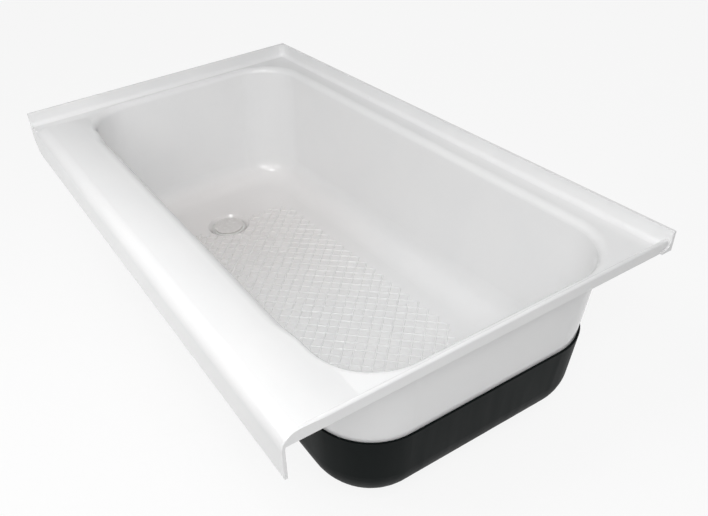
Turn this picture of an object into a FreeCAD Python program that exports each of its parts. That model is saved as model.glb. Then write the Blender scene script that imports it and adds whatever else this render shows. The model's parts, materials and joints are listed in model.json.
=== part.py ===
import FreeCAD, Part
import math
import os

from FreeCAD import Vector

# An alcove bathtub: a white thermoformed shell on a black base pan, with a foot-operated drain.
# Millimetres. The origin is the middle of the footprint on the floor, +Z up, the front skirt towards -Y
# and the drain end towards -X.

# Overall sizes
overall_length = 1016.0
overall_width = 610.0
overall_height = 330.0
shell_sheet = 4.0
glue_line = 0.3
cut_overrun = 20.0
match_tolerance = 0.001

# Tile flange along the left end and the back
flange_height = 27.0
flange_top_width = 4.0
flange_draft_degrees = 3.5
flange_foot_round = 8.0
flange_corner_round = 14.0
flange_band_width = 19.0

# Bead along the right end
bead_width = 6.0
bead_rise = 13.0
bead_round = 2.8
bead_foot_round = 6.0
bead_inset = 3.0

# Front ledge and the skirt below it
ledge_rise = 12.4
ledge_crest_width = 55.0
ledge_slope_overlap = 3.0
ledge_round = 22.0
ledge_crest_reach = 27.0
ledge_foot_round = 12.0
ledge_end_gap = 42.0
ledge_end_slope_degrees = 30.0
skirt_shoulder_round = 14.0
skirt_drop = 53.0
skirt_corner_round = 45.0

# Basin
opening_margin_left = 27.0
opening_margin_right = 27.0
opening_margin_front = 106.0
opening_margin_back = 46.0
opening_corner_round = 92.0
foot_corner_round = 84.0
end_wall_taper = 27.5
side_wall_taper = 16.5
opening_roll = 12.0
ledge_roll = 30.0
ledge_roll_fade = 60.0
floor_round = 55.0
floor_slope_degrees = 1.7
floor_at_drain = 42.0

# Base pan
pan_sheet = 3.5
pan_height = 165.0
pan_foot_round = 78.0

# Drain recess
drain_from_left = 208.0
drain_off_midline = -14.0
recess_depth = 8.0
recess_foot_radius = 38.0
recess_foot_round = 3.0
recess_flare = 8.0

# Drain body
shank_radius = 23.5
shank_wall = 4.5
shank_foot_height = 3.0
shank_hole_gap = 1.0
outlet_step = 1.0
outlet_length = 10.0
drain_flange_radius = 36.5
drain_flange_thickness = 3.0
drain_flange_edge = 1.4
drain_flange_slope_width = 6.0
seat_width = 4.0
seat_depth = 2.2
crossbar_foot_height = 8.0
crossbar_height = 6.0
crossbar_width = 3.5
crossbar_arm_count = 4
hub_radius = 8.0

# Gasket, washers and nut on the drain body
gasket_thickness = 1.2
gasket_inner_radius = 25.0
gasket_width = 8.0
washer_hole_gap = 0.4
drain_washer_radius = 34.0
drain_washer_thickness = 3.5
friction_washer_radius = 33.0
friction_washer_thickness = 1.5
locknut_radius = 31.0
locknut_height = 10.0
locknut_wing_count = 6
locknut_wing_length = 5.0
locknut_wing_width = 8.0
thread_gap = 0.05

# Stopper
post_thread_radius = 4.7
post_shaft_radius = 4.0
post_head_radius = 6.0
post_head_height = 4.0
post_head_round = 0.8
post_top_height = 30.0
running_gap = 0.08
stopper_lift = 7.5
lift_reserve = 0.5
sleeve_wall = 1.92
sleeve_lip_height = 2.0
sleeve_collar_width = 4.0
sleeve_collar_height = 1.8
seal_gap = 0.3
seal_edge_gap = 0.4
cap_radius = 32.0
cap_edge_height = 1.8
cap_edge_round = 0.8
cap_crown_height = 3.5
cap_socket_depth = 2.5
spring_wire_radius = 0.45
spring_coil_radius = 4.4
spring_turns = 6
spring_end_gap = 0.1

# Board that the pan stands on, and foam between the pan and the basin floor
board_thickness = 18.0
bed_inset = 87.0
bed_corner_round = 30.0
drain_access_radius = 50.0

# Places worked out from the sizes above
half_length = overall_length / 2
half_width = overall_width / 2
deck_height = overall_height - flange_height
deck_underside = deck_height - shell_sheet
skirt_foot_height = deck_height - skirt_drop
opening_left = -half_length + opening_margin_left
opening_right = half_length - opening_margin_right
opening_front = -half_width + opening_margin_front
opening_back = half_width - opening_margin_back
rim_right = half_length - bead_inset
drain_x = -half_length + drain_from_left
drain_y = (opening_front + opening_back) / 2 + drain_off_midline
recess_floor = floor_at_drain - recess_depth
recess_underside = recess_floor - shell_sheet
shank_bore_radius = shank_radius - shank_wall
outlet_radius = shank_radius - outlet_step
flange_seat = recess_floor + gasket_thickness
drain_flange_top = flange_seat + drain_flange_thickness
seat_floor = drain_flange_top - seat_depth
seat_radius = shank_bore_radius + seat_width
drain_washer_foot = recess_underside - drain_washer_thickness
friction_washer_foot = drain_washer_foot - friction_washer_thickness
locknut_foot = friction_washer_foot - locknut_height
hub_top = crossbar_foot_height + crossbar_height
post_neck = post_top_height - post_head_height
sleeve_lip_top = post_neck - stopper_lift - lift_reserve
sleeve_foot = sleeve_lip_top - sleeve_lip_height
sleeve_lip_radius = post_shaft_radius + running_gap
sleeve_bore_radius = post_head_radius + running_gap
sleeve_radius = sleeve_bore_radius + sleeve_wall
cap_underside = drain_flange_top + seal_gap
seal_foot = seat_floor + seal_gap
socket_top = cap_underside + cap_socket_depth
socket_radius = sleeve_radius + thread_gap
pan_floor = board_thickness + pan_sheet
upright = Vector(0, 0, 1)


def outline(corners, place):
    """Closed wire through corners (u, v, radius), with a tangent arc at each corner that has a radius."""
    points = [Vector(u, v, 0) for u, v, radius in corners]
    stretches = []
    for i, here in enumerate(points):
        radius = corners[i][2]
        back = (points[i - 1] - here).normalize()
        ahead = (points[(i + 1) % len(points)] - here).normalize()
        half_angle = back.getAngle(ahead) / 2
        reach = radius / math.tan(half_angle)
        inwards = (back + ahead).normalize()
        middle = here + inwards * (radius / math.sin(half_angle) - radius)
        stretches.append((here + back * reach, middle, here + ahead * reach))
    edges = []
    for i, (start, middle, end) in enumerate(stretches):
        if corners[i][2] > 0:
            edges.append(Part.Arc(place(start), place(middle), place(end)).toShape())
        following = stretches[(i + 1) % len(points)][0]
        if end.distanceToPoint(following) > match_tolerance:
            edges.append(Part.makeLine(place(end), place(following)))
    return Part.Wire(edges)


def across(x):
    """Places an outline in the upright plane across the tub at x: u along Y, v up."""
    return lambda p: Vector(x, p.x, p.y)


def along(y):
    """Places an outline in the upright plane along the tub at y: u along X, v up."""
    return lambda p: Vector(p.x, y, p.y)


def level(z):
    """Places an outline in the level plane at z: u along X, v along Y."""
    return lambda p: Vector(p.x, p.y, z)


def bar(corners, place, travel):
    """A solid of one outline pushed along travel."""
    return Part.Face(outline(corners, place)).extrude(travel)


def block(low, high):
    """A box between two corners."""
    size = high - low
    return Part.makeBox(size.x, size.y, size.z, low)


def turned(corners):
    """A solid of revolution about the drain's axis, from an outline of (radius, height, round)."""
    face = Part.Face(outline(corners, along(0)))
    solid = face.revolve(Vector(0, 0, 0), upright, 360)
    return solid.translated(Vector(drain_x, drain_y, 0))


def drain_cylinder(radius, foot, top):
    return Part.makeCylinder(radius, top - foot, Vector(drain_x, drain_y, foot))


def drain_ring(inner, outer, foot, top):
    return turned([(inner, foot, 0), (outer, foot, 0), (outer, top, 0), (inner, top, 0)])


def basin_plan(height, grow):
    """The basin's rounded plan at one height, its walls moved outwards by grow."""
    share = height / deck_height
    end_step = end_wall_taper * (1 - share)
    side_step = side_wall_taper * (1 - share)
    left = opening_left + end_step - grow
    right = opening_right - end_step + grow
    front = opening_front + side_step - grow
    back = opening_back - side_step + grow
    corner = foot_corner_round + (opening_corner_round - foot_corner_round) * share + grow
    plan = [(left, front, corner), (right, front, corner), (right, back, corner), (left, back, corner)]
    return outline(plan, level(height))


def above_floor(height, slope_degrees):
    """All that lies above a floor at height under the drain, which rises towards +X."""
    span = Vector(overall_length, overall_length, 0)
    space = block(-span + upright * height, span + upright * (height + overall_length))
    return space.rotated(Vector(drain_x, 0, height), Vector(0, 1, 0), -slope_degrees)


def basin_sides(grow, top):
    """The space between the drafted basin walls up to top, with no floor, its walls moved outwards by grow."""
    return Part.makeLoft([basin_plan(-cut_overrun, grow), basin_plan(top, grow)], True, True)


def basin_form(grow, floor, slope_degrees, foot_round, top):
    """The drafted basin as a solid, with a rounded foot."""
    form = basin_sides(grow, top).common(above_floor(floor, slope_degrees)).Solids[0]
    floor_face = min(form.Faces, key=lambda face: face.CenterOfMass.z)
    return form.makeFillet(foot_round, floor_face.Edges)


def upper_form(depth):
    """All that lies under the deck, ledge and skirt, whose faces are moved inwards by depth."""
    front = -half_width + depth
    back = half_width + cut_overrun
    foot = skirt_foot_height - cut_overrun
    deck = deck_height - depth
    crest = deck + ledge_rise
    slope_start = -half_width + ledge_crest_width
    slope_end = opening_front + ledge_slope_overlap
    slope_angle = math.atan2(ledge_rise, slope_end - slope_start)
    slope_shift = depth * math.tan(slope_angle / 2)
    crest_round = ledge_crest_reach / math.tan(slope_angle / 2)
    start = -half_length - cut_overrun
    travel = Vector(rim_right + cut_overrun - start, 0, 0)
    plain = [(front, foot, 0), (front, deck, skirt_shoulder_round - depth), (back, deck, 0), (back, foot, 0)]
    raised = [
        (front, foot, 0),
        (front, crest, ledge_round - depth),
        (slope_start - slope_shift, crest, crest_round - depth),
        (slope_end - slope_shift, deck, ledge_foot_round + depth),
        (back, deck, 0),
        (back, foot, 0),
    ]
    end_angle = math.radians(ledge_end_slope_degrees)
    end_foot = -half_length + ledge_end_gap + depth * math.tan(end_angle / 2)
    end_top = end_foot + flange_height / math.tan(end_angle)
    beyond_end = [
        (start, deck, 0),
        (end_foot, deck, 0),
        (end_top, deck + flange_height, 0),
        (start, deck + flange_height, 0),
    ]
    ledge = bar(raised, across(start), travel)
    ledge = ledge.cut(bar(beyond_end, along(-half_width - cut_overrun), Vector(0, overall_width, 0)))
    return bar(plain, across(start), travel).fuse(ledge)


def skirt_corner_waste():
    """What the rounding of the skirt's lower left corner takes away."""
    low = Vector(-half_length - cut_overrun, -half_width - cut_overrun, skirt_foot_height - cut_overrun)
    reach = Vector(cut_overrun + skirt_corner_round, 2 * cut_overrun, cut_overrun + skirt_corner_round)
    axis = Vector(-half_length + skirt_corner_round, low.y, skirt_foot_height + skirt_corner_round)
    kept = Part.makeCylinder(skirt_corner_round, 2 * cut_overrun, axis, Vector(0, 1, 0))
    return block(low, low + reach).cut(kept)


def rim_edges(body, hollow, lowest):
    """The edges above lowest where the walls of a hollow come out of a body, each with its number in the body."""
    found = []
    for number, edge in enumerate(body.Edges, 1):
        middle = Part.Vertex(edge.valueAt((edge.FirstParameter + edge.LastParameter) / 2))
        if edge.BoundBox.ZMin > lowest and hollow.distToShape(middle)[0] < match_tolerance:
            found.append((number, edge))
    return found


def rim_form(depth):
    """The upper form with the basin open in it, its rim rolled over, widest along the ledge."""
    hollow = basin_sides(depth, overall_height)
    body = upper_form(depth).cut(hollow).removeSplitter()
    lowest = deck_height - depth - match_tolerance
    edges = [edge for number, edge in rim_edges(body, hollow, lowest)]
    front = min(edges, key=lambda edge: edge.CenterOfMass.y)
    wide_from = front.BoundBox.XMin + ledge_roll_fade
    wide_to = front.BoundBox.XMax - ledge_roll_fade
    start = front.Vertexes[0].Point
    marks = [Part.Vertex(Vector(x, start.y, start.z)) for x in (wide_from, wide_to)]
    body = body.generalFuse(marks)[0].Solids[0]

    def roll_at(vertex):
        on_front = vertex.Y < start.y + match_tolerance
        wide = wide_from - match_tolerance < vertex.X < wide_to + match_tolerance
        return (ledge_roll if on_front and wide else opening_roll) - depth

    rolls = [(number, roll_at(edge.Vertexes[0]), roll_at(edge.Vertexes[-1]))
             for number, edge in rim_edges(body, hollow, lowest)]
    document = FreeCAD.newDocument("rim")
    plain = document.addObject("Part::Feature", "plain")
    plain.Shape = body
    rolled = document.addObject("Part::Fillet", "rolled")
    rolled.Base = plain
    rolled.Edges = rolls
    document.recompute()
    form = rolled.Shape.copy()
    FreeCAD.closeDocument(document.Name)
    return form


def deck_and_skirt(rim):
    """The deck, the rolled rim, the raised ledge and the skirt as one bent sheet, closed at the ledge's right end."""
    sheet = rim.cut(rim_form(shell_sheet))
    end_low = Vector(rim_right - shell_sheet, -half_width, deck_underside)
    end_wall = rim.common(block(end_low, Vector(rim_right, opening_front, overall_height)))
    low = Vector(-half_length, -half_width, skirt_foot_height)
    sheet = sheet.common(block(low, Vector(rim_right, half_width, overall_height)))
    return sheet.fuse(end_wall).cut(skirt_corner_waste())


def tile_flange():
    """The upturned flange along the left end and the back, with its foot radius."""
    draft = flange_height * math.tan(math.radians(flange_draft_degrees))

    def well_plan(height, inset):
        left = -half_length + inset
        back = half_width - inset
        right = half_length + cut_overrun
        front = -half_width - cut_overrun
        return outline([(left, front, 0), (right, front, 0), (right, back, 0), (left, back, 0)], level(height))

    well = Part.makeLoft([well_plan(deck_height, flange_top_width + draft),
                          well_plan(overall_height, flange_top_width)], True, True)
    corner = [edge for edge in well.Edges
              if edge.BoundBox.ZLength > flange_height / 2
              and edge.BoundBox.XMax < 0 and edge.BoundBox.YMin > 0]
    well = well.makeFillet(flange_corner_round, corner)
    feet = [edge for edge in well.Edges
            if edge.BoundBox.ZMax < deck_height + match_tolerance
            and (edge.BoundBox.XMax < 0 or edge.BoundBox.YMin > 0)]
    well = well.makeFillet(flange_foot_round, feet)
    low = Vector(-half_length, -half_width, deck_underside)
    wall = block(low, Vector(half_length, half_width, overall_height)).cut(well)
    inner_low = Vector(-half_length + flange_band_width, -half_width - cut_overrun, 0)
    inner_high = Vector(half_length + cut_overrun, half_width - flange_band_width, overall_height)
    return wall.cut(block(inner_low, inner_high))


def end_bead():
    """The rounded bead along the right end."""
    inner = rim_right - bead_width
    crest = deck_height + bead_rise
    section = [
        (rim_right, deck_underside, 0),
        (rim_right, crest, bead_round),
        (inner, crest, bead_round),
        (inner, deck_height, bead_foot_round),
        (inner - bead_width - bead_foot_round, deck_height, 0),
        (inner - bead_width - bead_foot_round, deck_underside, 0),
    ]
    start = -half_width + ledge_round
    end = half_width - flange_top_width
    return bar(section, along(start), Vector(0, end - start, 0))


def make_tub_shell():
    rim = rim_form(0)
    low = Vector(opening_left - opening_roll, opening_front - opening_roll, skirt_foot_height)
    high = Vector(opening_right + opening_roll, opening_back + opening_roll, deck_height)
    edging = tile_flange().fuse(end_bead()).cut(block(low, high).cut(rim))
    outer = basin_form(shell_sheet, floor_at_drain - shell_sheet, floor_slope_degrees,
                       floor_round + shell_sheet, skirt_foot_height)
    inner = basin_form(0, floor_at_drain, floor_slope_degrees, floor_round, skirt_foot_height)
    recess_top = recess_foot_radius + recess_flare
    boss = Part.makeCone(recess_foot_radius + shell_sheet, recess_top + shell_sheet, recess_depth,
                         Vector(drain_x, drain_y, recess_underside))
    waste = turned([(0, recess_floor, 0), (recess_foot_radius, recess_floor, recess_foot_round),
                    (recess_top + recess_flare, floor_at_drain + recess_flare, 0),
                    (0, floor_at_drain + recess_flare, 0)])
    hole = drain_cylinder(shank_radius + shank_hole_gap, recess_underside - cut_overrun, recess_floor + cut_overrun)
    bowl = outer.fuse(boss).cut([inner, waste, hole])
    return deck_and_skirt(rim).fuse([edging, bowl]).removeSplitter()


def make_base_pan():
    grow = shell_sheet + glue_line
    outside = basin_form(grow + pan_sheet, board_thickness, 0, pan_foot_round, pan_height)
    inside = basin_form(grow, pan_floor, 0, pan_foot_round - pan_sheet, pan_height + cut_overrun)
    access = drain_cylinder(drain_access_radius, board_thickness - cut_overrun, pan_floor + cut_overrun)
    return outside.cut([inside, access])


def bed_prism(foot, top):
    """A slab over or under the flat middle of the pan, open round the drain."""
    left = opening_left + end_wall_taper + bed_inset
    right = opening_right - end_wall_taper - bed_inset
    front = opening_front + side_wall_taper + bed_inset
    back = opening_back - side_wall_taper - bed_inset
    plan = [(left, front, bed_corner_round), (right, front, bed_corner_round),
            (right, back, bed_corner_round), (left, back, bed_corner_round)]
    slab = bar(plan, level(foot), upright * (top - foot))
    return slab.cut(drain_cylinder(drain_access_radius, foot - cut_overrun, top + cut_overrun))


def make_bed_board():
    return bed_prism(0, board_thickness)


def make_bed_foam():
    foam = bed_prism(pan_floor, deck_height)
    return foam.cut(above_floor(floor_at_drain - shell_sheet - glue_line, floor_slope_degrees))


def make_drain_body():
    edge_top = flange_seat + drain_flange_edge
    body = turned([
        (shank_bore_radius, shank_foot_height, 0),
        (outlet_radius, shank_foot_height, 0),
        (outlet_radius, shank_foot_height + outlet_length, 0),
        (shank_radius, shank_foot_height + outlet_length, 0),
        (shank_radius, flange_seat, 0),
        (drain_flange_radius, flange_seat, 0),
        (drain_flange_radius, edge_top, 0),
        (drain_flange_radius - drain_flange_slope_width, drain_flange_top, 0),
        (seat_radius, drain_flange_top, 0),
        (seat_radius, seat_floor, 0),
        (shank_bore_radius, seat_floor, 0),
    ])
    arm_reach = shank_bore_radius + shank_wall / 2
    arms = []
    for i in range(crossbar_arm_count):
        arm = block(Vector(0, -crossbar_width / 2, crossbar_foot_height),
                    Vector(arm_reach, crossbar_width / 2, hub_top))
        arm.rotate(Vector(0, 0, 0), upright, 360 * i / crossbar_arm_count)
        arms.append(arm.translated(Vector(drain_x, drain_y, 0)))
    body = body.fuse(arms + [drain_cylinder(hub_radius, crossbar_foot_height, hub_top)])
    hole = drain_cylinder(post_thread_radius + thread_gap, crossbar_foot_height - cut_overrun,
                          hub_top + cut_overrun)
    return body.cut(hole).removeSplitter()


def make_flange_gasket():
    return drain_ring(gasket_inner_radius, gasket_inner_radius + gasket_width, recess_floor, flange_seat)


def make_drain_washer():
    inner = shank_radius + washer_hole_gap
    return drain_ring(inner, drain_washer_radius, drain_washer_foot, recess_underside)


def make_friction_washer():
    inner = shank_radius + washer_hole_gap
    return drain_ring(inner, friction_washer_radius, friction_washer_foot, drain_washer_foot)


def make_drain_locknut():
    nut = drain_ring(shank_radius + thread_gap, locknut_radius, locknut_foot, friction_washer_foot)
    wings = []
    for i in range(locknut_wing_count):
        wing = block(Vector(shank_radius + locknut_wing_length, -locknut_wing_width / 2, locknut_foot),
                     Vector(locknut_radius + locknut_wing_length, locknut_wing_width / 2, friction_washer_foot))
        wing.rotate(Vector(0, 0, 0), upright, 360 * i / locknut_wing_count)
        wings.append(wing.translated(Vector(drain_x, drain_y, 0)))
    return nut.fuse(wings).removeSplitter()


def make_stopper_post():
    return turned([
        (0, crossbar_foot_height, 0),
        (post_thread_radius, crossbar_foot_height, 0),
        (post_thread_radius, hub_top, 0),
        (post_shaft_radius, hub_top, 0),
        (post_shaft_radius, post_neck, 0),
        (post_head_radius, post_neck, 0),
        (post_head_radius, post_top_height, post_head_round),
        (0, post_top_height, 0),
    ])


def make_stopper_sleeve():
    collar_radius = sleeve_radius + sleeve_collar_width
    collar_foot = seal_foot - sleeve_collar_height
    return turned([
        (sleeve_lip_radius, sleeve_foot, 0),
        (sleeve_radius, sleeve_foot, 0),
        (sleeve_radius, collar_foot, 0),
        (collar_radius, collar_foot, 0),
        (collar_radius, seal_foot, 0),
        (sleeve_radius, seal_foot, 0),
        (sleeve_radius, socket_top, 0),
        (sleeve_bore_radius, socket_top, 0),
        (sleeve_bore_radius, sleeve_lip_top, 0),
        (sleeve_lip_radius, sleeve_lip_top, 0),
    ])


def make_stopper_seal():
    return drain_ring(socket_radius, seat_radius - seal_edge_gap, seal_foot, cap_underside)


def make_stopper_cap():
    top = cap_underside + cap_edge_height + cap_crown_height
    dome_radius = (cap_radius ** 2 + cap_crown_height ** 2) / (2 * cap_crown_height)
    dome = Part.makeSphere(dome_radius, Vector(drain_x, drain_y, top - dome_radius))
    cap = drain_cylinder(cap_radius, cap_underside, top).common(dome)
    rim = [edge for edge in cap.Edges if edge.BoundBox.ZMin > cap_underside + match_tolerance
           and edge.BoundBox.ZLength < match_tolerance]
    cap = cap.makeFillet(cap_edge_round, rim)
    return cap.cut(drain_cylinder(socket_radius, cap_underside - cut_overrun, socket_top))


def make_stopper_spring():
    foot = post_top_height + spring_wire_radius + spring_end_gap
    height = socket_top - spring_wire_radius - spring_end_gap - foot
    path = Part.makeHelix(height / spring_turns, height, spring_coil_radius)
    section = Part.Wire(Part.makeCircle(spring_wire_radius, Vector(spring_coil_radius, 0, 0), Vector(0, 1, 0)))
    wire = Part.Wire(path.Edges).makePipeShell([section], True, True)
    return wire.translated(Vector(drain_x, drain_y, foot))


makers = {
    "tub_shell": make_tub_shell,
    "base_pan": make_base_pan,
    "bed_board": make_bed_board,
    "bed_foam": make_bed_foam,
    "drain_body": make_drain_body,
    "flange_gasket": make_flange_gasket,
    "drain_washer": make_drain_washer,
    "friction_washer": make_friction_washer,
    "drain_locknut": make_drain_locknut,
    "stopper_post": make_stopper_post,
    "stopper_sleeve": make_stopper_sleeve,
    "stopper_seal": make_stopper_seal,
    "stopper_cap": make_stopper_cap,
    "stopper_spring": make_stopper_spring,
}

os.makedirs("parts", exist_ok=True)
for name, make in makers.items():
    shape = make()
    if len(shape.Solids) == 1:
        shape = shape.Solids[0]
    print(name, "valid" if shape.isValid() else "INVALID", len(shape.Solids), "solid",
          round(shape.Volume / 1000, 2), "cm3")
    shape.exportStep("parts/" + name + ".step")
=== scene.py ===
# %% [markdown]
# # A small alcove bathtub
# The tub is one thin white plastic sheet, pulled hot over a mould: basin, deck, tile flanges, end bead and
# front ledge are all the same skin. A black pan is glued round the lower half. The scene loads the packed
# model as a fixed frame, gives each of its meshes a finish, and adds the raised tread on the basin's floor.

import json
import math

import bpy
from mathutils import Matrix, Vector


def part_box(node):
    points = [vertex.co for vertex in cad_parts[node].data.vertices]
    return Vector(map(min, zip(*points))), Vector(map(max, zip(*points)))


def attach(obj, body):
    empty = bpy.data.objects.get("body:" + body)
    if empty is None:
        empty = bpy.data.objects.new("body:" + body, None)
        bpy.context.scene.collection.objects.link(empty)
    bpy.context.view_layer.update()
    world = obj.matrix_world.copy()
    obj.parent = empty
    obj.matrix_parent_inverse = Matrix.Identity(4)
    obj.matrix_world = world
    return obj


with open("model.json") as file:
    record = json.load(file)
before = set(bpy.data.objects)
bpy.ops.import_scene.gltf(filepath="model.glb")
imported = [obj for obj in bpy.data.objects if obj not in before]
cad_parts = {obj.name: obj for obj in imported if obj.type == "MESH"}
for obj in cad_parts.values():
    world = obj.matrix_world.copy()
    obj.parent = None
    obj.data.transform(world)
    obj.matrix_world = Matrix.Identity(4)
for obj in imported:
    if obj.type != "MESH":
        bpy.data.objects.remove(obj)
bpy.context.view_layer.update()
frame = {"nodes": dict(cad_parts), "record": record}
mm = 0.001

# %% [markdown]
# ## The camera
# The photograph was taken from beyond the right end, from in front and above, and cropped off its centre.
# Its long straight edges gave the lens, the place and the turn. A lens shift moves the picture without
# turning the camera, so upright edges keep the slant that they have in the photograph.

# %% Camera
photo_width = 708
photo_height = 516
focal_pixels = 724.31
centre_pixel = (268.35, 256.17)
camera_place = (0.9581, -0.5248, 0.8922)
camera_turn_degrees = (55.172, 4.788, 60.038)
sensor_width_mm = 36.0

camera_data = bpy.data.cameras.new("photo_camera")
camera_data.sensor_fit = "HORIZONTAL"
camera_data.sensor_width = sensor_width_mm
camera_data.lens = focal_pixels / photo_width * sensor_width_mm
camera_data.shift_x = (photo_width / 2 - centre_pixel[0]) / photo_width
camera_data.shift_y = (centre_pixel[1] - photo_height / 2) / photo_width
camera = bpy.data.objects.new("photo_camera", camera_data)
bpy.context.scene.collection.objects.link(camera)
camera.location = camera_place
camera.rotation_euler = [math.radians(turn) for turn in camera_turn_degrees]
bpy.context.scene.camera = camera
print("lens", round(camera_data.lens, 2), "mm")

# %% [markdown]
# ## Sums on a material's sockets
# A finish is arithmetic on patterns: a scratch mask times a depth, or one minus a stain. Nodes joined by hand
# are long to write, so one small class wraps an output socket and turns Python's signs into Math nodes. Every
# other node, such as a noise or a ramp, comes from its one method `node`. Geometry Nodes have the same kind
# of sockets, so the class serves for them too.

# %% One output socket that can be added and multiplied
class Pattern:
    """An output socket of a node tree, on which + - * and the reflected forms add Math nodes."""

    def __init__(self, tree, socket):
        self.tree = tree
        self.socket = socket

    def node(self, kind, settings, sockets, output=0):
        """Adds a node of a kind with its settings, fills its sockets with values or patterns."""
        made = self.tree.nodes.new(kind)
        for name, setting in settings.items():
            if name == "stops":
                set_stops(made.color_ramp, setting)
            else:
                setattr(made, name, setting)
        for name, value in sockets.items():
            if isinstance(value, Pattern):
                self.tree.links.new(value.socket, made.inputs[name])
            else:
                made.inputs[name].default_value = value
        return Pattern(self.tree, made.outputs[output])

    def math(self, operation, first, second=0.0):
        """A Math node on two values or patterns."""
        return self.node("ShaderNodeMath", {"operation": operation}, {0: first, 1: second})

    def __add__(self, other):
        return self.math("ADD", self, other)

    def __radd__(self, other):
        return self.math("ADD", other, self)

    def __sub__(self, other):
        return self.math("SUBTRACT", self, other)

    def __rsub__(self, other):
        return self.math("SUBTRACT", other, self)

    def __mul__(self, other):
        return self.math("MULTIPLY", self, other)

    def __rmul__(self, other):
        return self.math("MULTIPLY", other, self)


def set_stops(ramp, stops):
    """Gives a colour ramp its stops, each a place from 0 to 1 and a colour."""
    while len(ramp.elements) < len(stops):
        ramp.elements.new(1.0)
    for element, (place, colour) in zip(ramp.elements, stops):
        element.position = place
        element.color = (*colour, 1.0)


# %% [markdown]
# ## Patterns that the finishes share
# All patterns read Object coordinates. Each object here sits at the origin, so those are metres in the tub's
# own frame, and a scale of 100 makes a cell about a centimetre wide. A Mapping node squeezes one axis to draw
# grain. Most of a noise's values lie between 0.3 and 0.7, so that range is pulled out where a mask needs the
# whole way from 0 to 1.

# %% Starting a finish, and the shared patterns
def start_finish(slot, **constants):
    """A new material with its shader, its constant sockets set, and the place on the object as a pattern."""
    material = bpy.data.materials.new(slot)
    material.use_nodes = True
    tree = material.node_tree
    shader = tree.nodes["Principled BSDF"]
    for name, value in constants.items():
        shader.inputs[name.replace("_", " ")].default_value = value
    coordinates = tree.nodes.new("ShaderNodeTexCoord")
    return material, shader, Pattern(tree, coordinates.outputs["Object"])


def feed(node, socket, pattern):
    """Joins a pattern to one of the sockets of a shader, an output or a background."""
    pattern.tree.links.new(pattern.socket, node.inputs[socket])


def noise(place, scale, detail=3.0, roughness=0.5):
    """Soft noise with so many cells in a metre."""
    sockets = {"Vector": place, "Scale": scale, "Detail": detail, "Roughness": roughness}
    return place.node("ShaderNodeTexNoise", {}, sockets)


def stretched(place, scale):
    """The place squeezed along each axis, which draws a pattern out into grain."""
    return place.node("ShaderNodeMapping", {}, {"Vector": place, "Scale": scale})


def height_above_foot(place):
    """The height above the floor that the tub stands on."""
    return place.node("ShaderNodeSeparateXYZ", {}, {"Vector": place}, "Z")


def spread(pattern, low, high, new_low, new_high):
    """A pattern taken from one range to another, and held at the ends."""
    sockets = {"Value": pattern, "From Min": low, "From Max": high, "To Min": new_low, "To Max": new_high}
    return pattern.node("ShaderNodeMapRange", {}, sockets)


def full_range(pattern, low=0.3, high=0.7):
    """A pattern's usual range pulled out to the whole way from 0 to 1."""
    return spread(pattern, low, high, 0.0, 1.0)


def fading(pattern, start, end):
    """A mask that is 1 up to one value of a pattern and falls to 0 at another."""
    return spread(pattern, start, end, 1.0, 0.0)


def blend_colours(share, first, second):
    """Two colours, each fixed or a pattern, mixed by a share from 0 to 1."""
    factor_socket, first_socket, second_socket, result_socket = 0, 6, 7, 2
    sockets = {factor_socket: share}
    for socket, colour in ((first_socket, first), (second_socket, second)):
        sockets[socket] = colour if isinstance(colour, Pattern) else (*colour, 1.0)
    return share.node("ShaderNodeMix", {"data_type": "RGBA"}, sockets, result_socket)


def relief(height, strength, depth_mm):
    """A Bump node: relief of at most depth_mm that shades but doesn't move the surface."""
    sockets = {"Height": height, "Strength": strength, "Distance": depth_mm * mm}
    return height.node("ShaderNodeBump", {}, sockets)


def scratches(place, scale, width):
    """Fine crossed hairlines: the places where a stretched noise passes through its middle value."""
    squeeze = 14.0
    lines = []
    for direction in ((1.0, squeeze, 1.0), (squeeze, 1.0, 1.0)):
        grain = noise(stretched(place, direction), scale, 2.0)
        lines.append(fading(grain.math("ABSOLUTE", grain - 0.5), 0.0, width))
    return place.math("MAXIMUM", lines[0], lines[1])


# %% [markdown]
# ## The white shell
# The shell is a gloss sheet with the faint unevenness of plastic that was stretched hot: the gloss comes and
# goes over a few centimetres, and a very shallow ripple bends the reflections. The floor round the drain is
# rubbed duller and a little warmer than the walls. That mask is a distance from the drain, kept to the floor
# by its height. The roughness stays below about 0.27 everywhere: the denoiser treats a surface as a mirror
# below that value and as matt above it, so gloss that varies across it shows hard-edged patches.

# %% Where the drain is, and the white gloss sheet
cap_low, cap_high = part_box("stopper_cap")
drain_centre = (cap_low + cap_high) / 2
print("drain centre", tuple(round(value, 4) for value in drain_centre))


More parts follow.
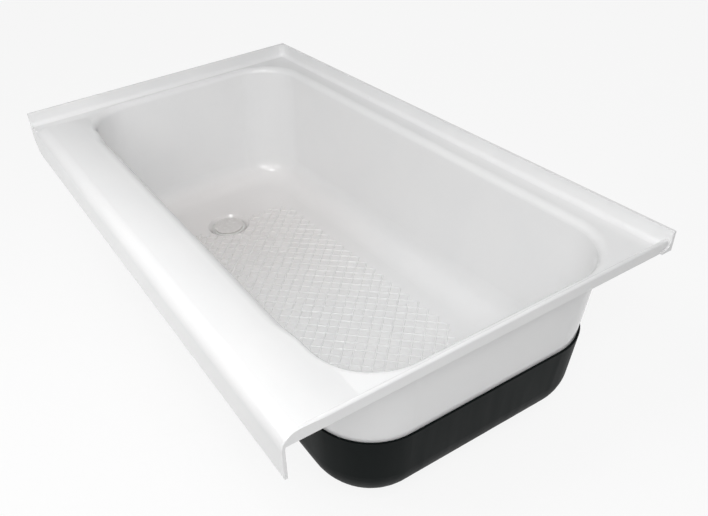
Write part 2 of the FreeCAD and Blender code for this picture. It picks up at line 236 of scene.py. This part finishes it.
def shell_finish(slot):
    """Gloss white sheet, a little duller and warmer on the floor round the drain."""
    cool_white = (0.845, 0.847, 0.85)
    plain_white = (0.865, 0.865, 0.865)
    rubbed_white = (0.79, 0.755, 0.74)
    worn_near, worn_far = 0.05, 0.42
    floor_top, wall_foot = 0.052, 0.085
    material, shader, place = start_finish(slot, IOR=1.5, Coat_Weight=0.25, Coat_Roughness=0.12)
    ends = {0: place, 1: drain_centre}
    from_drain = place.node("ShaderNodeVectorMath", {"operation": "DISTANCE"}, ends, "Value")
    on_floor = fading(height_above_foot(place), floor_top, wall_foot)
    worn = fading(from_drain, worn_near, worn_far) * on_floor
    tone = blend_colours(full_range(noise(place, 9.0)), cool_white, plain_white)
    feed(shader, "Base Color", blend_colours(worn * 0.7, tone, rubbed_white))
    hairlines = scratches(place, 60.0, 0.008) * full_range(noise(place, 22.0), 0.45, 0.75)
    gloss = spread(noise(place, 28.0, 2.0), 0.3, 0.7, 0.18, 0.2) + worn * 0.045 + hairlines * 0.025
    feed(shader, "Roughness", gloss)
    ripple = noise(place, 14.0, 0.0) + noise(place, 400.0, 2.0) * 0.02
    feed(shader, "Normal", relief(ripple, 0.08, 1.0))
    return material


# %% [markdown]
# ## The black pan
# The pan is pulled from a thicker black sheet and never polished. It is satin, slightly green, drawn into
# faint upright streaks where it stretched over the mould, with grey scuffs near its foot where it stood on
# pallets. The photograph shows it nearly black, so the mirror part of its light is turned down to a tenth.

# %% Satin black sheet
def pan_finish(slot):
    """Satin black with upright streaks and scuffs near the foot."""
    deep_black = (0.0035, 0.0055, 0.0055)
    worn_black = (0.0055, 0.0078, 0.0078)
    scuff_grey = (0.04, 0.044, 0.043)
    scuffed_to, clear_from = 0.02, 0.07
    material, shader, place = start_finish(slot, IOR=1.5, Specular_IOR_Level=0.05)
    streaks = noise(stretched(place, (1.0, 1.0, 0.12)), 55.0, 4.0)
    near_foot = fading(height_above_foot(place), scuffed_to, clear_from)
    scuffs = full_range(noise(place, 70.0, 6.0, 0.7), 0.6, 0.72) * near_foot
    plain = blend_colours(full_range(streaks), deep_black, worn_black)
    feed(shader, "Base Color", blend_colours(scuffs * 0.5, plain, scuff_grey))
    feed(shader, "Roughness", spread(streaks, 0.2, 0.8, 0.42, 0.55) + scuffs * 0.2)
    grain = noise(place, 700.0, 3.0) + streaks * 0.5
    feed(shader, "Normal", relief(grain, 0.12, 0.3))
    return material


# %% [markdown]
# ## What lies under the tub
# The board is softwood plywood: long grain on its faces and thin dark glue lines between its layers. The
# height divided by a layer's thickness gives those lines: its fraction starts again at each layer. The foam
# is a poured rigid foam, so its cut face is full of small cells, which a Voronoi texture gives directly.

# %% Plywood and foam
def board_finish(slot):
    """Plywood with its grain along X and a glue line at each layer."""
    layer_thickness = 3.0 * mm
    glue_share = 0.12
    glue_brown = (0.16, 0.09, 0.045)
    wood_stops = [(0.3, (0.36, 0.22, 0.11)), (0.5, (0.55, 0.38, 0.21)), (0.7, (0.66, 0.5, 0.31))]
    material, shader, place = start_finish(slot)
    grain = noise(stretched(place, (0.6, 9.0, 9.0)), 26.0, 6.0, 0.6)
    fibres = noise(stretched(place, (1.0, 40.0, 40.0)), 30.0, 2.0)
    layer = place.math("FRACT", height_above_foot(place) * (1 / layer_thickness))
    glue = fading(layer, 0.0, glue_share)
    wood = grain.node("ShaderNodeValToRGB", {"stops": wood_stops}, {"Fac": grain})
    feed(shader, "Base Color", blend_colours(glue * 0.6, wood, glue_brown))
    feed(shader, "Roughness", spread(fibres, 0.2, 0.8, 0.6, 0.8))
    feed(shader, "Normal", relief(grain + fibres, 0.4, 0.4))
    return material


def foam_finish(slot):
    """Rigid foam cut through its cells."""
    cell_shadow = (0.6, 0.5, 0.27)
    cell_edge = (0.8, 0.72, 0.46)
    material, shader, place = start_finish(slot)
    cell_sockets = {"Vector": place, "Scale": 650.0}
    cells = place.node("ShaderNodeTexVoronoi", {"feature": "F1"}, cell_sockets, "Distance")
    feed(shader, "Base Color", blend_colours(full_range(cells, 0.1, 0.6), cell_shadow, cell_edge))
    feed(shader, "Roughness", spread(noise(place, 90.0), 0.3, 0.7, 0.75, 0.95))
    feed(shader, "Normal", relief(cells, 0.7, 0.6))
    return material


# %% [markdown]
# ## Metal
# The drain body is turned and then brushed, so its marks are circles round the drain's axis. The distance
# from that axis, put through a noise, gives such rings at any width. Brass parts are turned the same way and
# keep a slight tarnish. The spring is drawn wire, with marks that run in short lengths.

# %% Turned steel, brass and wire
def rings_round_drain(place, scale):
    """Turning marks: a noise that changes with the distance from the drain's axis only."""
    to_axis = place.node("ShaderNodeVectorMath", {"operation": "SUBTRACT"}, {0: place, 1: drain_centre})
    flat = stretched(to_axis, (1.0, 1.0, 0.0))
    radius = flat.node("ShaderNodeVectorMath", {"operation": "LENGTH"}, {0: flat}, "Value")
    line = radius.node("ShaderNodeCombineXYZ", {}, {"X": radius})
    return noise(line, scale, 3.0)


def turned_metal_finish(slot, dark, light, tarnish):
    """Metal with turning marks and a cloudy tarnish."""
    material, shader, place = start_finish(slot, Metallic=1.0)
    rings = rings_round_drain(place, 1600.0)
    cloud = full_range(noise(place, 120.0, 4.0), 0.45, 0.7)
    bright = blend_colours(full_range(rings), dark, light)
    feed(shader, "Base Color", blend_colours(cloud * 0.35, bright, tarnish))
    feed(shader, "Roughness", spread(rings, 0.3, 0.7, 0.22, 0.34) + cloud * 0.1)
    feed(shader, "Normal", relief(rings, 0.15, 0.1))
    return material


def drain_steel_finish(slot):
    """Turned and brushed steel."""
    return turned_metal_finish(slot, (0.6, 0.6, 0.59), (0.76, 0.76, 0.74), (0.55, 0.53, 0.5))


def brass_finish(slot):
    """Turned brass with a brown tarnish."""
    return turned_metal_finish(slot, (0.6, 0.44, 0.2), (0.82, 0.64, 0.33), (0.4, 0.28, 0.13))


def wire_finish(slot):
    """Drawn steel wire."""
    material, shader, place = start_finish(slot, Metallic=1.0)
    drawn = noise(stretched(place, (1.0, 1.0, 6.0)), 900.0, 3.0)
    feed(shader, "Base Color", blend_colours(drawn, (0.42, 0.42, 0.43), (0.66, 0.66, 0.66)))
    feed(shader, "Roughness", spread(drawn, 0.3, 0.7, 0.25, 0.4))
    feed(shader, "Normal", relief(drawn, 0.2, 0.05))
    return material


# %% [markdown]
# ## Rubber and moulded plastic
# Rubber rings are matt black with a dusty bloom. The nut and the slip ring are pale moulded plastic with a
# fine texture from the mould. The cap is smooth white plastic, but its colour is set greyer and a little
# warmer than the shell's: that difference is painted shade.

# %% Rubber, nut and cap
def rubber_finish(slot):
    """Matt black rubber with a dusty bloom."""
    material, shader, place = start_finish(slot, IOR=1.45)
    bloom = full_range(noise(place, 160.0, 5.0, 0.65), 0.4, 0.75)
    feed(shader, "Base Color", blend_colours(bloom, (0.026, 0.026, 0.027), (0.075, 0.074, 0.072)))
    feed(shader, "Roughness", spread(bloom, 0.0, 1.0, 0.62, 0.85))
    feed(shader, "Normal", relief(noise(place, 2200.0, 2.0), 0.2, 0.05))
    return material


def moulded_finish(slot, dark, light):
    """Pale moulded plastic with a fine texture."""
    material, shader, place = start_finish(slot, IOR=1.49)
    cloud = noise(place, 140.0, 4.0)
    feed(shader, "Base Color", blend_colours(full_range(cloud), dark, light))
    feed(shader, "Roughness", spread(cloud, 0.3, 0.7, 0.38, 0.52))
    feed(shader, "Normal", relief(noise(place, 1500.0, 2.0), 0.15, 0.05))
    return material


def slip_ring_finish(slot):
    """The lighter plastic of the slip ring."""
    return moulded_finish(slot, (0.74, 0.74, 0.71), (0.82, 0.82, 0.8))


def nut_finish(slot):
    """The greyer plastic of the nut."""
    return moulded_finish(slot, (0.62, 0.62, 0.6), (0.72, 0.72, 0.7))


def cap_with_painted_shade_finish(slot):
    """Smooth white plastic with faint turning marks; its colour is greyer and warmer than the shell's as
    painted shade.
    """
    material, shader, place = start_finish(slot, IOR=1.49, Coat_Weight=0.2, Coat_Roughness=0.1)
    rings = rings_round_drain(place, 900.0)
    cloud = noise(place, 90.0, 4.0)
    # These two colours are painted shade: the cap is white plastic, coloured greyer and warmer than the
    # shell.
    feed(shader, "Base Color", blend_colours(full_range(cloud), (0.69, 0.665, 0.65), (0.74, 0.72, 0.705)))
    feed(shader, "Roughness", spread(cloud, 0.3, 0.7, 0.2, 0.3) + scratches(place, 200.0, 0.015) * 0.15)
    feed(shader, "Normal", relief(rings, 0.05, 0.05))
    return material


# %% [markdown]
# ## Dressing the frame
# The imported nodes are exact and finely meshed, so each one keeps its mesh and gets its finish. The record
# says which material slot each node takes, and a table here says which function makes it.

# %% Finishes by slot
finish_makers = {
    "shell_plastic": shell_finish,
    "pan_plastic": pan_finish,
    "board": board_finish,
    "foam": foam_finish,
    "drain_metal": drain_steel_finish,
    "gasket_rubber": rubber_finish,
    "washer_rubber": rubber_finish,
    "slip_plastic": slip_ring_finish,
    "nut_plastic": nut_finish,
    "post_brass": brass_finish,
    "sleeve_brass": brass_finish,
    "seal_rubber": rubber_finish,
    "cap_plastic": cap_with_painted_shade_finish,
    "spring_steel": wire_finish,
}
finishes = {slot: make(slot) for slot, make in finish_makers.items()}
for subpart in frame["record"]["subparts"]:
    node = frame["nodes"][subpart["node"]]
    node.data.materials.clear()
    node.data.materials.append(finishes[subpart["material_slot"]])
print(len(finishes), "finishes on", len(frame["nodes"]), "nodes")

# %% [markdown]
# ## The tread
# The floor has raised diamonds so that wet feet don't slip: two sets of straight ridges that cross at right
# angles, each turned 45 degrees to the tub, inside a rounded rectangle and clear of the drain. They could be
# drawn by a bump, but bump gives no real edge at a low view. So Python lays the lines out on the sloping
# floor, and Geometry Nodes gives each one a low rounded section that fades out at its ends.

# %% The tread's sizes
tread_left = -0.300
tread_right = 0.292
tread_front = -0.122
tread_back = 0.164
tread_corner = 0.040
tread_pitch = 0.0186
drain_clearance = 0.049
ridge_width = 0.0034
ridge_rise = 0.0015
ridge_fade = 0.006
shortest_ridge = 0.010
walking_step = 0.0005

floor_rise_degrees = 1.7
floor_at_drain = 0.042
drain_low, drain_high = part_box("drain_body")
drain_x = (drain_low.x + drain_high.x) / 2
drain_y = (drain_low.y + drain_high.y) / 2


# %% Where the ridges run
def floor_height(x):
    """The basin floor's height, which rises from the drain towards +X."""
    return floor_at_drain + (x - drain_x) * math.tan(math.radians(floor_rise_degrees))


def on_tread(x, y):
    """True inside the rounded rectangle of the tread and clear of the drain."""
    past_x = max(tread_left + tread_corner - x, x - tread_right + tread_corner, 0.0)
    past_y = max(tread_front + tread_corner - y, y - tread_back + tread_corner, 0.0)
    clear_of_drain = math.hypot(x - drain_x, y - drain_y) > drain_clearance
    return math.hypot(past_x, past_y) < tread_corner and clear_of_drain


def ridge_stretches(offset, turn):
    """The stretches of one lattice line that lie on the tread, found by walking along it in short steps."""
    middle_x = (tread_left + tread_right) / 2
    middle_y = (tread_front + tread_back) / 2
    along = (math.cos(turn), math.sin(turn))
    reach = tread_right - tread_left
    stretches = []
    run = []
    for i in range(round(2 * reach / walking_step) + 1):
        travel = -reach + i * walking_step
        x = middle_x + along[0] * travel - along[1] * offset
        y = middle_y + along[1] * travel + along[0] * offset
        if on_tread(x, y):
            run.append((x, y))
        elif run:
            stretches.append((run[0], run[-1]))
            run = []
    return [(a, b) for a, b in stretches if math.dist(a, b) > shortest_ridge]


ridge_lines = []
line_count = round((tread_right - tread_left) / tread_pitch)
for turn_degrees in (45, -45):
    for i in range(-line_count, line_count + 1):
        ridge_lines += ridge_stretches(i * tread_pitch, math.radians(turn_degrees))
print(len(ridge_lines), "ridges on the floor")

# %% [markdown]
# The ridge tree turns each line into a curve, sweeps a flattened circle along it and sets the finish. A named
# attribute on the line's points holds the swell, which scales the circle, so a ridge fades at its ends. The
# lower half of that circle is inside the sheet, so a ridge has no gap under it.

# %% Lines with a swell
def line_mesh(name, lines, fade):
    """A mesh of loose edges, one chain per line, with a swell that falls off at both ends."""
    tip_swell = 0.12
    shoulder_swell = 0.72
    swell_along_line = (tip_swell, shoulder_swell, 1.0, 1.0, shoulder_swell, tip_swell)
    points = []
    edges = []
    swells = []
    for a, b in lines:
        full_at = fade / math.dist(a, b)
        shoulder_at = fade / 3 / math.dist(a, b)
        shares = [0.0, shoulder_at, full_at, 1 - full_at, 1 - shoulder_at, 1.0]
        first = len(points)
        for share, swell in zip(shares, swell_along_line):
            x = a[0] + (b[0] - a[0]) * share
            y = a[1] + (b[1] - a[1]) * share
            points.append((x, y, floor_height(x)))
            swells.append(swell)
        edges += [(first + k, first + k + 1) for k in range(len(shares) - 1)]
    mesh = bpy.data.meshes.new(name)
    mesh.from_pydata(points, edges, [])
    attribute = mesh.attributes.new("swell", "FLOAT", "POINT")
    attribute.data.foreach_set("value", swells)
    return mesh


# %% Ridges by Geometry Nodes
def ridge_tree():
    """Edges to curves, to swept ridges with a flattened round section."""
    section_corners = 12
    tree = bpy.data.node_groups.new("tread_ridges", "GeometryNodeTree")
    sockets = tree.interface
    sockets.new_socket("Geometry", in_out="INPUT", socket_type="NodeSocketGeometry")
    sockets.new_socket("Ridge width", in_out="INPUT", socket_type="NodeSocketFloat")
    sockets.new_socket("Ridge rise", in_out="INPUT", socket_type="NodeSocketFloat")
    sockets.new_socket("Finish", in_out="INPUT", socket_type="NodeSocketMaterial")
    sockets.new_socket("Geometry", in_out="OUTPUT", socket_type="NodeSocketGeometry")
    inputs = tree.nodes.new("NodeGroupInput").outputs
    result = tree.nodes.new("NodeGroupOutput")
    lines, width, rise, finish = (
        Pattern(tree, inputs[name]) for name in ("Geometry", "Ridge width", "Ridge rise", "Finish"))
    curves = lines.node("GeometryNodeMeshToCurve", {}, {"Mesh": lines})
    upright = lines.node("GeometryNodeSetCurveNormal", {"mode": "Z_UP"}, {"Curve": curves})
    swell_settings = {"data_type": "FLOAT"}
    swell = lines.node("GeometryNodeInputNamedAttribute", swell_settings, {"Name": "swell"}, "Attribute")
    sized = lines.node("GeometryNodeSetCurveRadius", {}, {"Curve": upright, "Radius": swell})
    circle_sockets = {"Resolution": section_corners, "Radius": 1.0}
    circle = lines.node("GeometryNodeCurvePrimitiveCircle", {}, circle_sockets)
    flattening = lines.node("ShaderNodeCombineXYZ", {}, {"X": width * 0.5, "Y": rise, "Z": 1.0})
    section = lines.node("GeometryNodeTransform", {}, {"Geometry": circle, "Scale": flattening})
    swept = lines.node("GeometryNodeCurveToMesh", {}, {"Curve": sized, "Profile Curve": section})
    smooth = lines.node("GeometryNodeSetShadeSmooth", {}, {"Geometry": swept})
    real = lines.node("GeometryNodeRealizeInstances", {}, {"Geometry": smooth})
    dressed = lines.node("GeometryNodeSetMaterial", {}, {"Geometry": real, "Material": finish})
    feed(result, "Geometry", dressed)
    return tree


# %% [markdown]
# A tree runs as a modifier on a seed object. Its inputs are set by their identifiers before the first
# evaluation. The evaluated result becomes a plain mesh, because a piece that rides on a body has to be one.

# %% The tread as a plain mesh
def grown_by_nodes(name, mesh, tree, values):
    """A plain mesh object made by running a Geometry Nodes tree on a mesh."""
    seed_object = bpy.data.objects.new(name + "_seed", mesh)
    bpy.context.scene.collection.objects.link(seed_object)
    modifier = seed_object.modifiers.new("grow", "NODES")
    modifier.node_group = tree
    for item in tree.interface.items_tree:
        if item.in_out == "INPUT" and item.name in values:
            modifier[item.identifier] = values[item.name]
    evaluated = seed_object.evaluated_get(bpy.context.evaluated_depsgraph_get())
    grown = bpy.data.meshes.new_from_object(evaluated)
    seed_object.modifiers.clear()
    bpy.data.objects.remove(seed_object)
    piece = bpy.data.objects.new(name, grown)
    bpy.context.scene.collection.objects.link(piece)
    return piece


tread = grown_by_nodes(
    "floor_tread", line_mesh("ridge_lines", ridge_lines, ridge_fade), ridge_tree(),
    {"Ridge width": ridge_width, "Ridge rise": ridge_rise, "Finish": finishes["shell_plastic"]})
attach(tread, "tub")
print("tread faces", len(tread.data.polygons), "up to", max(v.co.z for v in tread.data.vertices))

# %% [markdown]
# ## Floor and background
# The photograph is a cut-out on pure white. The floor here is pale and keeps a soft shadow, and the camera
# sees the floor and the world behind it nearly white. More light would give that too, but it would bleach the
# tub, so a mask from Light Path lifts the background alone, and lets metal and gloss show it. The floor lies
# a hair below the board, so the two faces don't share a plane, and it is clear from underneath, so the board
# and the pan can be looked at from below too.

# %% Floor
floor_reach = 8.0
floor_drop = 0.3 * mm
floor_glow_share = 0.88
floor_grey = 0.9


def seen_directly(tree):
    """A mask that is 1 where the camera sees a background itself, or sees it in metal or through glass."""
    path = tree.nodes.new("ShaderNodeLightPath")
    mask = Pattern(tree, path.outputs["Is Camera Ray"])
    for kind in ("Is Glossy Ray", "Is Transmission Ray"):
        mask = mask.math("MAXIMUM", mask, Pattern(tree, path.outputs[kind]))
    return mask


def floor_finish():
    """Pale matt paint that the camera sees nearly white, with the tub's shadow kept, and clear from below."""
    material, shader, place = start_finish("pale_floor")
    tree = material.node_tree
    shader.inputs["Base Color"].default_value = (floor_grey, floor_grey, floor_grey, 1.0)
    feed(shader, "Roughness", spread(noise(place, 3.0), 0.3, 0.7, 0.85, 0.95))
    paint = Pattern(tree, shader.outputs["BSDF"])
    glow = place.node("ShaderNodeEmission", {}, {})
    clear = place.node("ShaderNodeBsdfTransparent", {}, {})
    from_below = place.node("ShaderNodeNewGeometry", {}, {}, "Backfacing")
    glow_mask = seen_directly(tree) * floor_glow_share
    top_side = place.node("ShaderNodeMixShader", {}, {"Fac": glow_mask, 1: paint, 2: glow})
    both_sides = place.node("ShaderNodeMixShader", {}, {"Fac": from_below, 1: top_side, 2: clear})
    feed(tree.nodes["Material Output"], "Surface", both_sides)
    return material


floor_mesh = bpy.data.meshes.new("studio_floor")
corner_signs = ((-1, -1), (1, -1), (1, 1), (-1, 1))
floor_corners = [(x * floor_reach, y * floor_reach, -floor_drop) for x, y in corner_signs]
floor_mesh.from_pydata(floor_corners, [], [(0, 1, 2, 3)])
floor_mesh.materials.append(floor_finish())
studio_floor = bpy.data.objects.new("studio_floor", floor_mesh)
bpy.context.scene.collection.objects.link(studio_floor)
print("floor", 2 * floor_reach, "m wide")

# %% [markdown]
# ## Light
# The bright ledge and skirt face the front, and the walls of the basin are nearly even. So a broad lamp and a
# small one stand over the front, a third lights the outer right end, and a low one in front reaches under the
# ledge's roll on to the skirt. An even world gives about a third of white, so no side of the tub falls dark.

# %% World and lamps
world_fill = 0.3
world = bpy.data.worlds.new("studio")
bpy.context.scene.world = world
world.use_nodes = True
sky = world.node_tree.nodes["Background"]
sky.inputs["Color"].default_value = (1.0, 1.0, 1.0, 1.0)
feed(sky, "Strength", seen_directly(world.node_tree) * (1.0 - world_fill) + world_fill)


def soft_lamp(name, place, target, size, power):
    """A square area lamp that faces a target."""
    lamp = bpy.data.lights.new(name, "AREA")
    lamp.size = size
    lamp.energy = power
    piece = bpy.data.objects.new(name, lamp)
    bpy.context.scene.collection.objects.link(piece)
    piece.location = place
    piece.rotation_euler = (Vector(target) - Vector(place)).to_track_quat("-Z", "Y").to_euler()


basin_middle = (0.0, 0.0, 0.2)
skirt_middle = (-0.2, -0.25, 0.3)
broad_lamp, small_lamp = 1.2, 0.4
soft_lamp("front_lamp", (1.47, -1.23, 1.81), basin_middle, broad_lamp, 7.6)
soft_lamp("ledge_lamp", (0.22, -0.61, 1.33), basin_middle, small_lamp, 4.8)
soft_lamp("side_lamp", (0.94, -0.34, 1.04), basin_middle, small_lamp, 3.3)
soft_lamp("skirt_lamp", (0.0, -0.95, 0.75), skirt_middle, small_lamp, 1.8)
bpy.context.scene.view_settings.view_transform = "Standard"
print("lamps", len(bpy.data.lights), "and a world of", world_fill)
